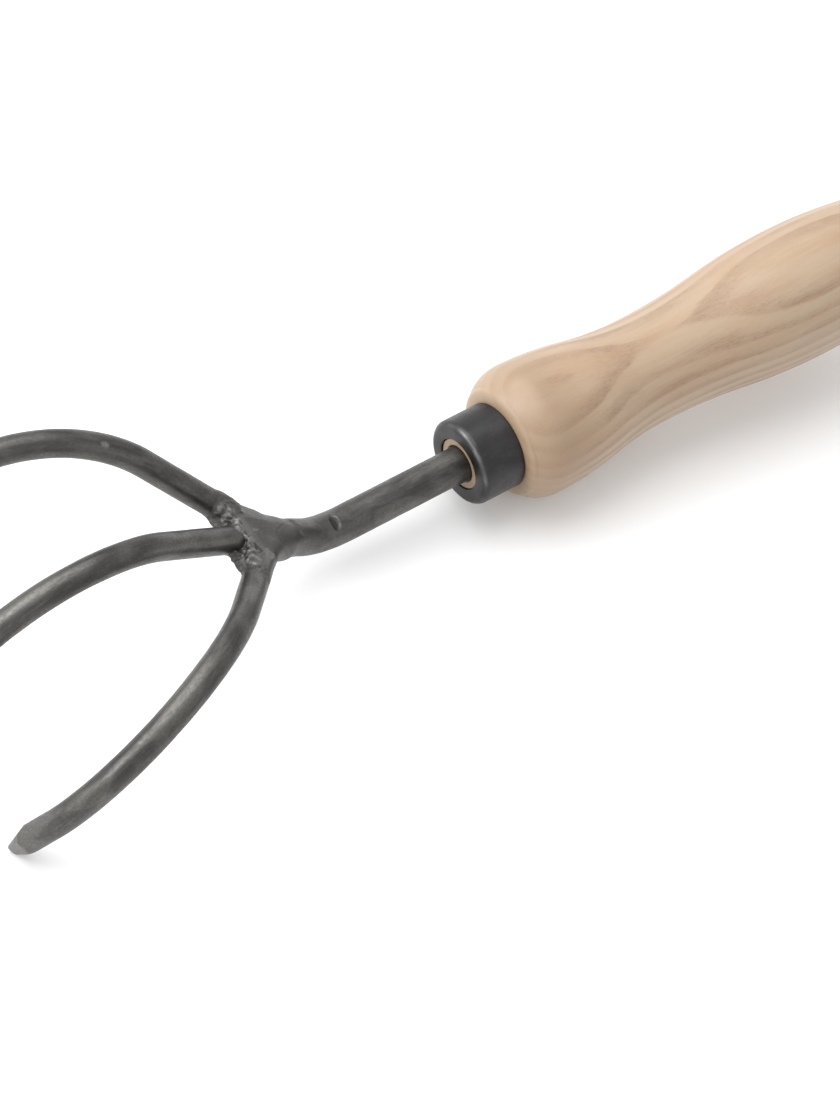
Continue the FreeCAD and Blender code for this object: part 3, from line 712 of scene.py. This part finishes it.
def make_weld(name, field, box, step, material, node, bead=None):
    """A weld's skin. Its bead, where it has one, is painted pale in spots: painted highlights on its
    lumps.
    """
    points, faces = netted(field, *box, step)
    points = settled(points, field)
    layers = {"bar": points * MM}
    if bead:
        # Painted highlights on the bead's lumps, in spots, through the ground layer.
        painted_highlight_spots = 0.6 + 0.65 * lumps(points, 0.8, 21)
        layers["ground"] = smoothstep(0.9, -0.1, bead(points)) * painted_highlight_spots
    new_piece(name, placed(points, FORK), faces, layers, material, "weld_metal", node)


def make_welds(ground_steel, weld_metal):
    make_weld("neck_weld_ground", hub_field, HUB_BOX, HUB_STEP, ground_steel, "neck_weld")
    for name, side in {"left": 1, "right": -1}.items():
        make_weld("crotch_weld_" + name, weld_field(side), WEB_BOX[side], WEB_STEP, weld_metal,
                  "weld_" + name, bead_field(side))


# ---------------------------------------------------------------- ferrule

def lathed(profile, segments, closed):
    """Skin of (distance behind the mouth, radius) pairs turned round the handle's axis."""
    behind, radius = np.array(profile, float).T
    around = np.linspace(0, 2 * math.pi, segments, endpoint=False)
    x = np.repeat(-behind[:, None], segments, 1)
    rings = np.stack([x, np.outer(radius, np.cos(around)), np.outer(radius, np.sin(around))], -1)
    if not closed:
        return capped(rings)
    return rings.reshape(-1, 3), ring_faces(len(rings) + 1, segments, wrap=len(rings) * segments)


def corner(centre, radius, start, end, count=9):
    """Points of a rounded corner, from one direction to another, in degrees."""
    angles = np.radians(np.linspace(start, end, count))
    return [(centre[0] + radius * math.cos(a), centre[1] + radius * math.sin(a)) for a in angles]


def line_points(start, end, spacing):
    count = max(1, round(math.dist(start, end) / spacing))
    return [tuple(p) for p in np.linspace(start, end, count + 1)]


def ferrule_profile():
    inner, rear = FERRULE_RADIUS - FERRULE_WALL, FERRULE_LENGTH
    edge = FERRULE_RADIUS - FERRULE_ROUND
    back = rear - REAR_ROUND
    profile = line_points((rear, inner), (FERRULE_FRONT, inner), 1.0)
    profile += line_points((FERRULE_FRONT, FERRULE_MOUTH), (MOUTH_ROUND, FERRULE_MOUTH), 0.5)
    profile += corner((MOUTH_ROUND, FERRULE_MOUTH + MOUTH_ROUND), MOUTH_ROUND, 270, 180, 5)
    profile += corner((FERRULE_ROUND, edge), FERRULE_ROUND, 180, 90, 15)
    start, end = (FERRULE_ROUND + 0.5, FERRULE_RADIUS), (back - 0.05, FERRULE_RADIUS)
    profile += line_points(start, end, 0.5)
    return profile + corner((back, FERRULE_RADIUS - REAR_ROUND), REAR_ROUND, 90, 0, 6)


def ferrule_wear_and_highlight(points, away):
    """Where the ferrule's rear edge is scuffed bright, and its front rim is worn bright with a painted
    highlight.
    """
    edge = FERRULE_RADIUS - FERRULE_ROUND
    # The front rim's brightening is edge wear and a painted highlight.
    rim = np.exp(-((points[:, 0] + 0.5) / 0.45) ** 2) * smoothstep(-0.6, 0.0, away - edge)
    rear = np.exp(-((points[:, 0] + FERRULE_LENGTH - 0.5) / 0.5) ** 2) * (away > FERRULE_RADIUS - 0.6)
    scuffs_and_highlight = 0.45 * rim * (0.6 + lumps(points, 2.5, 31))
    scuffs_and_highlight += 0.35 * rear * np.clip(lumps(points, 5.0, 32), 0, 1)
    return np.clip(scuffs_and_highlight, 0, 1)


def make_ferrule(steel):
    points, faces = lathed(ferrule_profile(), 192, True)
    loss = unevenness(points[None], 0.02, 71)[0] - 0.02
    away = np.hypot(points[:, 1], points[:, 2])
    outside = away > FERRULE_RADIUS - 0.6
    points[outside, 1:] *= (1 + loss[outside] / away[outside])[:, None]
    layers = {"bar": points * MM, "ground": ferrule_wear_and_highlight(points, away)}
    new_piece("ferrule_ring", points, faces, layers, steel, "ferrule_steel", "ferrule")


# ---------------------------------------------------------------- handle and resin

def s_curve(start, end, x):
    """Two equal arcs that join two level points of the handle's outline."""
    dx, dy = end[0] - start[0], end[1] - start[1]
    radius = (dx * dx + dy * dy) / (4 * abs(dy))
    half = dx / 2
    first = radius - np.sqrt(radius ** 2 - np.clip(x - start[0], 0, half) ** 2)
    last = radius - np.sqrt(radius ** 2 - np.clip(end[0] - x, 0, half) ** 2)
    sign = math.copysign(1, dy)
    return np.where(x < start[0] + half, start[1] + sign * first, end[1] - sign * last)


def nose_radius(x):
    """Arc from the ferrule's shoulder up to the crown, level there."""
    rise, run = CROWN[1] - SHOULDER_RADIUS, CROWN[0] - FERRULE_LENGTH
    radius = (run * run + rise * rise) / (2 * rise)
    return CROWN[1] - radius + np.sqrt(radius ** 2 - (CROWN[0] - x) ** 2)


def tail_radius(x):
    return BELLY[1] - TAIL_CURVE + np.sqrt(TAIL_CURVE ** 2 - (x - BELLY[0]) ** 2)


def butt():
    """Rounded rear edge: tangent to the tail's arc and to the flat end."""
    low = BELLY[1] - TAIL_CURVE
    middle = HANDLE_END - BUTT_ROUND
    height = low + math.sqrt((TAIL_CURVE - BUTT_ROUND) ** 2 - (middle - BELLY[0]) ** 2)
    start = math.degrees(math.atan2(height - low, middle - BELLY[0]))
    return start, corner((middle, height), BUTT_ROUND, start, 0, 26)


def shoulder():
    """Eased front edge of the wood, from the ferrule out to the nose's arc."""
    t = np.radians(np.linspace(0, 80, 9))
    start = FERRULE_RADIUS + SHOULDER_STEP
    out = float(nose_radius(FERRULE_LENGTH + SHOULDER_EASE)) - start
    x = FERRULE_LENGTH + SHOULDER_EASE * (1 - np.cos(t))
    return list(zip(x, start + out * np.sin(t)))


def handle_outline():
    nose = np.linspace(FERRULE_LENGTH + SHOULDER_EASE, CROWN[0], 26)[:-1]
    grip = np.linspace(CROWN[0], WAIST[0], 56)[:-1]
    swell = np.linspace(WAIST[0], BELLY[0], 76)[:-1]
    _, end = butt()
    tail = np.linspace(BELLY[0], end[0][0], 50)[:-1]
    outline = list(zip(nose, nose_radius(nose))) + list(zip(grip, s_curve(CROWN, WAIST, grip)))
    outline += list(zip(swell, s_curve(WAIST, BELLY, swell))) + list(zip(tail, tail_radius(tail)))
    return outline + end


def spigot_profile():
    """The bore, the front of the spigot in the ferrule's mouth, and the spigot inside the ferrule."""
    spigot, plug = FERRULE_RADIUS - FERRULE_WALL, FERRULE_MOUTH - 0.03
    front = SPIGOT_FRONT
    profile = line_points((BORE_END, BORE_RADIUS), (front + 0.3, BORE_RADIUS), 4.0)
    profile += [(front, BORE_RADIUS + 0.3)]
    profile += line_points((front, BORE_RADIUS + 0.6), (front, plug - 0.25), 0.5)
    profile += line_points((front + 0.25, plug), (FERRULE_FRONT, plug), 0.6)
    profile += line_points((FERRULE_FRONT, plug + 0.2), (FERRULE_FRONT, spigot), 0.8)
    return profile + line_points((FERRULE_LENGTH, spigot), (FERRULE_LENGTH, FERRULE_RADIUS), 0.8)


def make_handle(wood, raw_wood):
    end = line_points((HANDLE_END, 5.0), (HANDLE_END, 0.8), 0.8)
    points, faces = lathed(spigot_profile() + shoulder() + handle_outline() + end, 176, False)
    piece = new_piece("wooden_handle", points, faces, {}, wood, "ash_wood", "handle")
    piece.data.materials.append(raw_wood)
    cut_hang_hole(piece)
    piece.data.set_sharp_from_angle(angle=math.radians(35))


def hang_hole_skin():
    """Skin of the hanging hole, flared where it comes out of the curved wood."""
    surface = float(tail_radius(HANG_STATION))
    easing = np.linspace(0, 1, 7)
    flare = [(surface - HANG_ROUND + HANG_ROUND * t * 1.25,
              HANG_RADIUS + HANG_ROUND * 0.9 * t ** 2.2) for t in easing]
    flare.append((surface + 3, HANG_RADIUS + 4))
    around = np.linspace(0, 2 * math.pi, 72, endpoint=False)
    rings = []
    for y, r in [(-y, r) for y, r in reversed(flare)] + flare:
        x, z = r * np.cos(around), r * np.sin(around)
        sag = surface - np.sqrt(surface ** 2 - z ** 2)
        level = np.full(around.shape, y) - math.copysign(1, y) * sag
        rings.append(np.stack([x - HANG_STATION, level, z], -1))
    return capped(np.array(rings))


def cut_hang_hole(piece):
    """Drills the hanging hole. Its wall takes the piece's second material."""
    points, faces = hang_hole_skin()
    mesh = bpy.data.meshes.new("hang_hole_cutter")
    mesh.from_pydata(placed(points * MM, REST).tolist(), [], faces)
    for material in piece.data.materials:
        mesh.materials.append(material)
    mesh.polygons.foreach_set("material_index", [1] * len(mesh.polygons))
    cutter = bpy.data.objects.new("hang_hole_cutter", mesh)
    bpy.context.scene.collection.objects.link(cutter)
    face_outward(cutter)
    drill = piece.modifiers.new("drill", "BOOLEAN")
    drill.object = cutter
    drill.solver = "EXACT"
    bake_modifiers(piece)
    bpy.data.objects.remove(cutter)
    bpy.data.meshes.remove(mesh)


def make_resin(resin):
    """Adhesive round the tang, with its uneven front between the bar and the wood."""
    outer, inner = BORE_RADIUS - 0.01, SHANK_RADIUS - 0.3
    end, tip = BORE_END - 0.1, TANG_TIP_RADIUS - 0.3
    profile = line_points((end, tip), (end, outer), 1.2)
    profile += line_points((BORE_END - 3, outer), (GLUE_START + 0.9, outer), 4.0)
    profile += line_points((GLUE_START + 0.25, outer), (GLUE_START, outer - 0.25), 0.2)
    profile += line_points((GLUE_START, outer - 0.35), (GLUE_START, inner), 0.12)
    profile += line_points((GLUE_START + 3, inner), (BORE_END - 6, tip), 4.0)
    points, faces = lathed(profile, 96, True)
    front = np.clip(1 - np.abs(-points[:, 0] - GLUE_START) / 0.8, 0, 1)
    below = smoothstep(-0.2, 1.0, -points[:, 2] / BORE_RADIUS)
    heap = 0.35 * wander(points, 1.3, 83) + 0.22 * wander(points, 0.6, 84)
    points[:, 0] += front * (heap + 0.6 * below)
    new_piece("tang_resin", points, faces, {"bar": points * MM}, resin, "resin", "tang_adhesive")


# ---------------------------------------------------------------- materials

class Graph:
    """Nodes of one material. Its add makes a node and gives one of its outputs."""

    def __init__(self, name):
        self.material = bpy.data.materials.new(name)
        self.material.use_nodes = True
        self.tree = self.material.node_tree
        self.shader = self.tree.nodes["Principled BSDF"]

    def add(self, kind, inputs, output=0, **settings):
        made = self.tree.nodes.new(kind)
        for key, value in settings.items():
            setattr(made, key, value)
        for key, value in inputs.items():
            self.feed(made.inputs[key], value)
        return made.outputs[output]

    def feed(self, socket, value):
        if isinstance(value, bpy.types.NodeSocket):
            self.tree.links.new(value, socket)
        else:
            socket.default_value = value

    def set(self, **values):
        for key, value in values.items():
            self.feed(self.shader.inputs[key.replace("_", " ")], value)

    def attribute(self, name, output):
        return self.add("ShaderNodeAttribute", {}, output, attribute_name=name)

    def math(self, operation, *values):
        return self.add("ShaderNodeMath", dict(enumerate(values)), operation=operation)

    def stretched(self, place, scale):
        inputs = {0: place, 1: scale}
        return self.add("ShaderNodeVectorMath", inputs, operation="MULTIPLY")

    def in_millimetres(self, place):
        return self.stretched(place, (1 / MM,) * 3)

    def noise(self, place, size, detail=3.0, rough=0.55, bend=0.0):
        inputs = {"Vector": place, "Scale": 1 / size, "Detail": detail, "Roughness": rough,
                  "Distortion": bend}
        return self.add("ShaderNodeTexNoise", inputs, "Fac")

    def ramp(self, value, low, high, start=0.0, end=1.0):
        inputs = {"Value": value, "From Min": low, "From Max": high, "To Min": start, "To Max": end}
        return self.add("ShaderNodeMapRange", inputs, interpolation_type="SMOOTHSTEP")

    def mix(self, factor, a, b, blend="MIX"):
        inputs = {0: factor, 6: colour(a), 7: colour(b)}
        return self.add("ShaderNodeMix", inputs, 2, data_type="RGBA", blend_type=blend)

    def bump(self, height, distance, strength=1.0):
        inputs = {"Height": height, "Distance": distance * MM, "Strength": strength}
        return self.add("ShaderNodeBump", inputs)


def colour(value):
    return (*value, 1) if isinstance(value, tuple) and len(value) == 3 else value


def ground_or_painted_light(g, place, shade):
    """The mesh's ground layer: above 0 bare steel with cross scratches, also used as painted
    highlight; below 0 painted shade of a hollow.
    """
    ground = g.attribute("ground", "Fac")
    cross = g.noise(g.stretched(place, (1, 0.12, 0.12)), 0.25, 3.0)
    bare = g.mix(g.ramp(cross, 0.35, 0.65), BARE_DARK, BARE_PALE)
    shade = g.mix(g.ramp(ground, 0.0, 1.0, 0.0, 0.85), shade, bare)
    return g.mix(g.ramp(ground, 0.0, -1.0, 0.0, 0.7), shade, HOLLOW_SHADE)


def make_steel(name, dark, pale, bright, roughness, marks, drawn, flecks):
    """Oiled dark steel: mill scale in patches, faint drawn lines, paler where it is ground or a
    highlight is painted, and painted shade in a hollow.
    """
    g = Graph(name)
    place = g.in_millimetres(g.attribute("bar", "Vector"))
    patches = g.noise(g.stretched(place, (0.4, 1, 1)), 5.0, 5.0, 0.6, 0.4)
    lines = g.noise(g.stretched(place, (0.05, 1, 1)), 0.5, 3.0, 0.6)
    grit = g.noise(g.stretched(place, (0.6, 1, 1)), 0.45, 4.0, 0.7)
    specks = g.noise(place, 0.9, 5.0, 0.7)
    shade = g.mix(g.ramp(patches, 0.35, 0.68), dark, pale)
    shade = g.mix(g.math("MULTIPLY", g.ramp(lines, 0.5, 0.78), drawn), shade, bright)
    shade = g.mix(g.ramp(grit, 0.35, 0.72, 0.0, 0.45), shade, dark)
    shade = g.mix(g.math("MULTIPLY", g.ramp(specks, 0.48, 0.70), flecks), shade, bright)
    shade = ground_or_painted_light(g, place, shade)
    height = g.math("ADD", g.math("MULTIPLY", lines, drawn), g.math("MULTIPLY", grit, 0.8))
    height = g.math("ADD", height, g.math("MULTIPLY", patches, 1.2))
    rough = g.ramp(grit, 0.3, 0.7, roughness - 0.06, roughness + 0.1)
    g.set(Base_Color=shade, Metallic=0.92, Roughness=rough, Normal=g.bump(height, marks))
    return g.material


def growth_rings(g, place):
    """How much of each point is the dark, porous early wood of a growth ring, in patches."""
    drift = g.noise(g.stretched(place, (0.25, 1, 1)), 14.0, 2.0)
    wiggle = g.noise(g.stretched(place, (0.06, 1, 1)), 2.2, 3.0)
    inputs = {0: place, 1: GRAIN_NORMAL}
    depth = g.add("ShaderNodeVectorMath", inputs, "Value", operation="DOT_PRODUCT")
    depth = g.math("ADD", depth, g.math("MULTIPLY", drift, 3.0))
    depth = g.math("ADD", depth, g.math("MULTIPLY", wiggle, 0.9))
    ring = g.math("DIVIDE", g.math("SUBTRACT", depth, RING_START), RING_SPACING)
    ring = g.math("FRACT", ring)
    early = g.math("SUBTRACT", g.ramp(ring, 0.0, 0.16), g.ramp(ring, 0.2, 0.85))
    patch = g.noise(g.stretched(place, (0.2, 1, 1)), 7.0, 3.0)
    return g.math("MULTIPLY", early, g.ramp(patch, 0.35, 0.65, 0.35, 1.0))


def make_wood(name, lacquer):
    """Ash: growth layers cut by the turned shape, pores in rows along the grain.

    The nose is darker towards the ferrule, and the spigot's front in the ferrule's mouth has painted
    shade."""
    g = Graph(name)
    back = REST.inverted()
    inputs = {"Vector": g.add("ShaderNodeTexCoord", {}, "Object"), "Location": back.translation,
              "Rotation": back.to_euler()}
    place = g.in_millimetres(g.add("ShaderNodeMapping", inputs))
    forward = g.add("ShaderNodeSeparateXYZ", {0: place}, "X")
    early = g.math("MULTIPLY", growth_rings(g, place), g.ramp(forward, -34.0, -14.0, 1.0, 0.45))
    broad = g.noise(g.stretched(place, (0.15, 1, 1)), 9.0, 2.0)
    pale = g.mix(g.ramp(broad, 0.35, 0.68), PALE_WOOD, WARM_WOOD)
    shade = g.mix(g.math("MULTIPLY", early, 0.72), pale, DARK_WOOD)
    fibre = g.noise(g.stretched(place, (0.03, 1, 1)), 0.35, 3.0)
    shade = g.mix(g.ramp(fibre, 0.3, 0.75, 0.0, 0.3), shade, LIGHT_WOOD)
    pores = g.noise(g.stretched(place, (0.12, 1, 1)), 0.2, 1.0)
    pores = g.math("MULTIPLY", g.ramp(pores, 0.58, 0.74), g.ramp(early, 0.1, 0.6, 0.1, 0.5))
    shade = g.mix(pores, shade, PORE_WOOD)
    # Darker over the nose, towards the ferrule.
    shade = g.mix(g.ramp(forward, -38.0, -22.0, 0.0, 0.5), shade, NOSE_WOOD)
    # Painted shade on the spigot's front, recessed in the ferrule's mouth.
    shade = g.mix(g.ramp(forward, -1.2, -0.6, 0.0, 0.5), shade, MOUTH_SHADE_WOOD)
    height = g.math("SUBTRACT", g.math("MULTIPLY", fibre, 0.3), pores)
    dull = 0.85 - 0.45 * lacquer
    rough = g.ramp(fibre, 0.3, 0.7, dull, dull + 0.12)
    g.set(Base_Color=shade, Roughness=rough, Normal=g.bump(height, 0.035))
    g.set(Coat_Weight=0.25 * lacquer, Coat_Roughness=0.3, Specular_IOR_Level=0.1 + 0.3 * lacquer)
    return g.material


def make_resin_look(name):
    g = Graph(name)
    place = g.in_millimetres(g.attribute("bar", "Vector"))
    clouds = g.noise(place, 0.9, 4.0)
    shade = g.mix(g.ramp(clouds, 0.35, 0.65), RESIN_DARK, RESIN_PALE)
    g.set(Base_Color=shade, Roughness=g.ramp(clouds, 0.3, 0.7, 0.25, 0.5))
    g.set(Normal=g.bump(g.noise(place, 0.25, 2.0), 0.05))
    return g.material


# ---------------------------------------------------------------- stage

def make_floor():
    half, white = FLOOR_HALF, FLOOR_WHITE
    mesh = bpy.data.meshes.new("floor")
    corners = [(-half, -half, 0), (half, -half, 0), (half, half, 0), (-half, half, 0)]
    mesh.from_pydata(corners, [], [(0, 1, 2, 3)])
    g = Graph("floor_white")
    g.set(Base_Color=(white, white, white, 1), Roughness=0.9, Specular_IOR_Level=0.1)
    mesh.materials.append(g.material)
    floor = bpy.data.objects.new("floor", mesh)
    bpy.context.scene.collection.objects.link(floor)


def looking_from(azimuth, elevation, roll):
    """Turns an object's -Z towards the middle, seen from that side (0 looks along +Y)."""
    azimuth, elevation = math.radians(azimuth), math.radians(elevation)
    back = Vector((math.sin(azimuth) * math.cos(elevation), -math.cos(azimuth) * math.cos(elevation),
                   math.sin(elevation)))
    level = Vector((0, 0, 1)).cross(back).normalized()
    axes = Matrix((level, back.cross(level), back)).transposed().to_4x4()
    return axes @ turned("Z", roll)


def aimed(made, azimuth, elevation, roll, distance):
    """Places a camera or a light at a distance from AIM, pointing at it."""
    turning = looking_from(azimuth, elevation, roll)
    made.matrix_world = Matrix.Translation(AIM) @ turning @ Matrix.Translation((0, 0, distance))
    bpy.context.scene.collection.objects.link(made)


def make_light(name, azimuth, elevation, distance, size, power):
    lamp = bpy.data.lights.new(name, "AREA")
    lamp.shape = "DISK"
    lamp.size = size
    lamp.energy = power
    aimed(bpy.data.objects.new(name, lamp), azimuth, elevation, 0, distance)


def make_camera():
    lens = bpy.data.cameras.new("camera")
    lens.lens = CAMERA_LENS
    lens.sensor_width = CAMERA_SENSOR
    camera = bpy.data.objects.new("camera", lens)
    aimed(camera, CAMERA_AZIMUTH, CAMERA_ELEVATION, CAMERA_ROLL, CAMERA_DISTANCE)
    bpy.context.scene.camera = camera


def make_daylight():
    world = bpy.data.worlds.new("studio")
    world.use_nodes = True
    sky = world.node_tree.nodes["Background"]
    sky.inputs["Color"].default_value = (1, 1, 1, 1)
    sky.inputs["Strength"].default_value = DAYLIGHT
    bpy.context.scene.world = world
    bpy.context.scene.view_settings.view_transform = "Standard"


# ---------------------------------------------------------------- the whole scene

def make_tool():
    bars = make_steel("bar_steel_look", **BAR_STEEL)
    joint = make_steel("joint_steel_look", **JOINT_STEEL)
    beads = make_steel("weld_look", **BEAD_STEEL)
    band = make_steel("ferrule_look", **FERRULE_STEEL)
    make_outer_tines(bars)
    make_centre_tine(bars)
    make_shank(bars)
    make_welds(joint, beads)
    make_ferrule(band)
    make_handle(make_wood("ash_look", 1.0), make_wood("raw_ash_look", 0.0))
    make_resin(make_resin_look("resin_look"))


def make_studio():
    make_floor()
    make_camera()
    make_daylight()
    for name, numbers in LIGHTS.items():
        make_light(name, *numbers)


make_tool()
make_studio()
